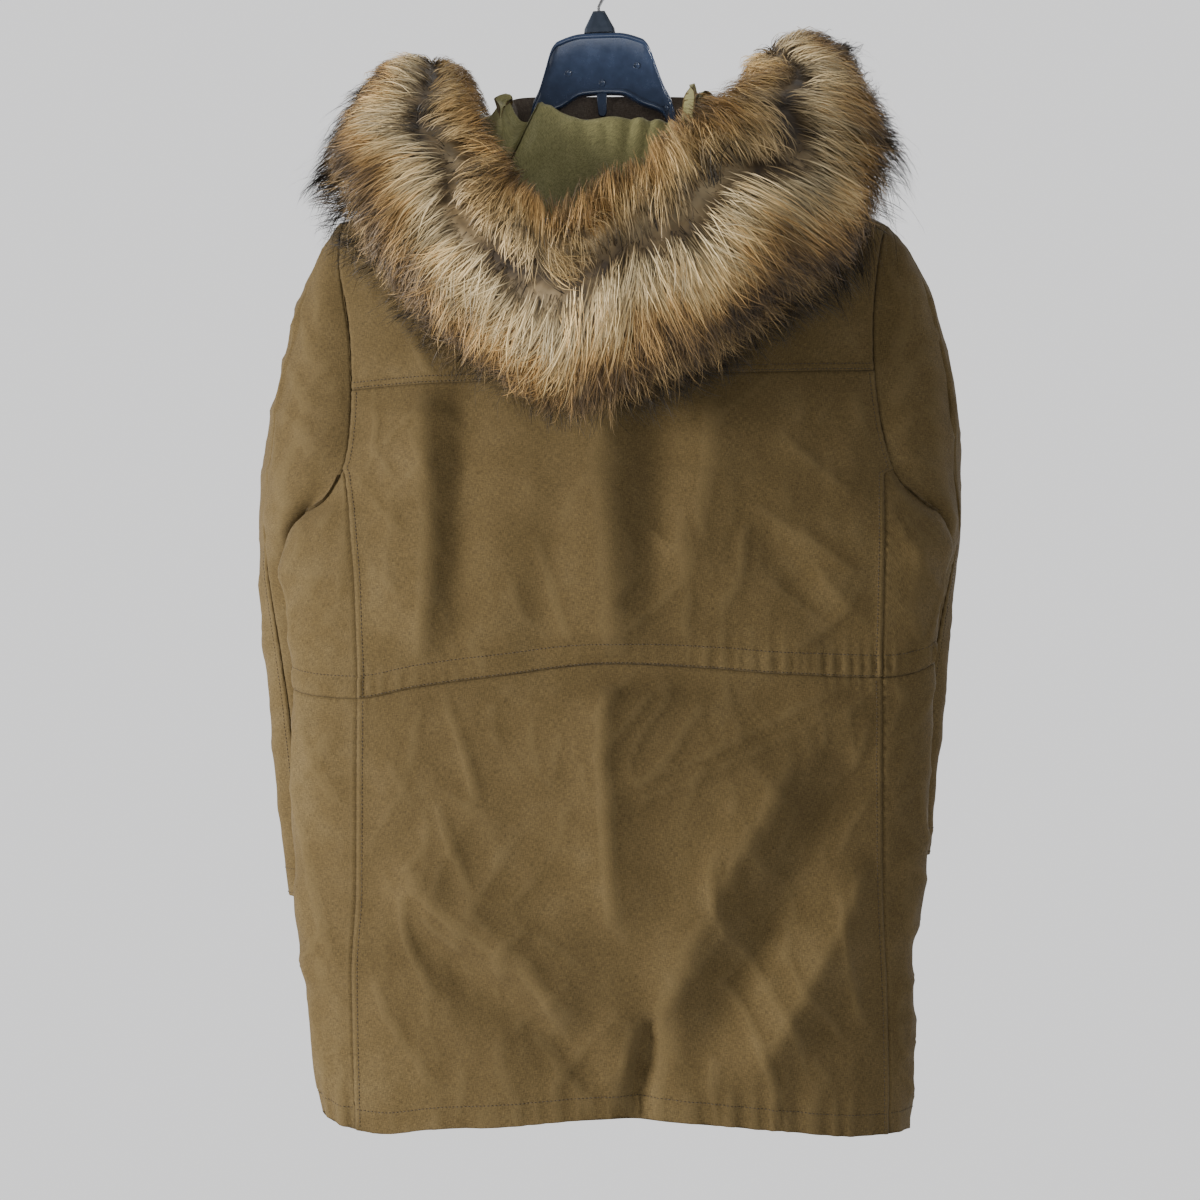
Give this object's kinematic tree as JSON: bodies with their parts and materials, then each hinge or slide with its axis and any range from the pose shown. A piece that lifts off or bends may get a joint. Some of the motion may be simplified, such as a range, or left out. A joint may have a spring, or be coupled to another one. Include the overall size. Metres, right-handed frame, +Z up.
{
  "type": "fur trimmed parka on hanger",
  "caption": "Olive cotton parka with a wide fur ruff on its hanging hood, elastic hem and two-piece sleeves, hung on a moulded plastic jacket hanger.",
  "frame": {"origin": "inner top of the hanger's hook, where a rail carries it", "axes": "+Z up along the hang, -Y out of the parka's back, +X to the wearer's right side"},
  "size_m": [0.683, 0.3383, 1.1154],
  "materials": {
    "shell_cotton": "matte plain weave, washed and softly creased",
    "hood_lining": "satin nylon",
    "collar_facing": "matte",
    "fur": "long banded pile, dark at the tips",
    "hanger_plastic": "gloss",
    "marker_plastic": "satin",
    "hook_steel": "polished"
  },
  "bodies": {
    "root": {"back_yoke": "shell_cotton", "back_upper": "shell_cotton", "back_lower": "shell_cotton", "side_left_upper": "shell_cotton", "side_left_lower": "shell_cotton", "side_right_upper": "shell_cotton", "side_right_lower": "shell_cotton", "front_left": "shell_cotton", "front_right": "shell_cotton", "storm_flap": "shell_cotton", "collar": "collar_facing", "sleeve_left_under": "shell_cotton", "sleeve_left_top": "shell_cotton", "sleeve_right_under": "shell_cotton", "sleeve_right_top": "shell_cotton", "hood_left": "shell_cotton", "hood_centre": "shell_cotton", "hood_right": "shell_cotton", "hood_lining_left": "hood_lining", "hood_lining_centre": "hood_lining", "hood_lining_right": "hood_lining", "fur_ruff": "fur", "hanger_body": "hanger_plastic", "size_marker": "marker_plastic", "hanger_hook": "hook_steel"}
  },
  "joints": []
}
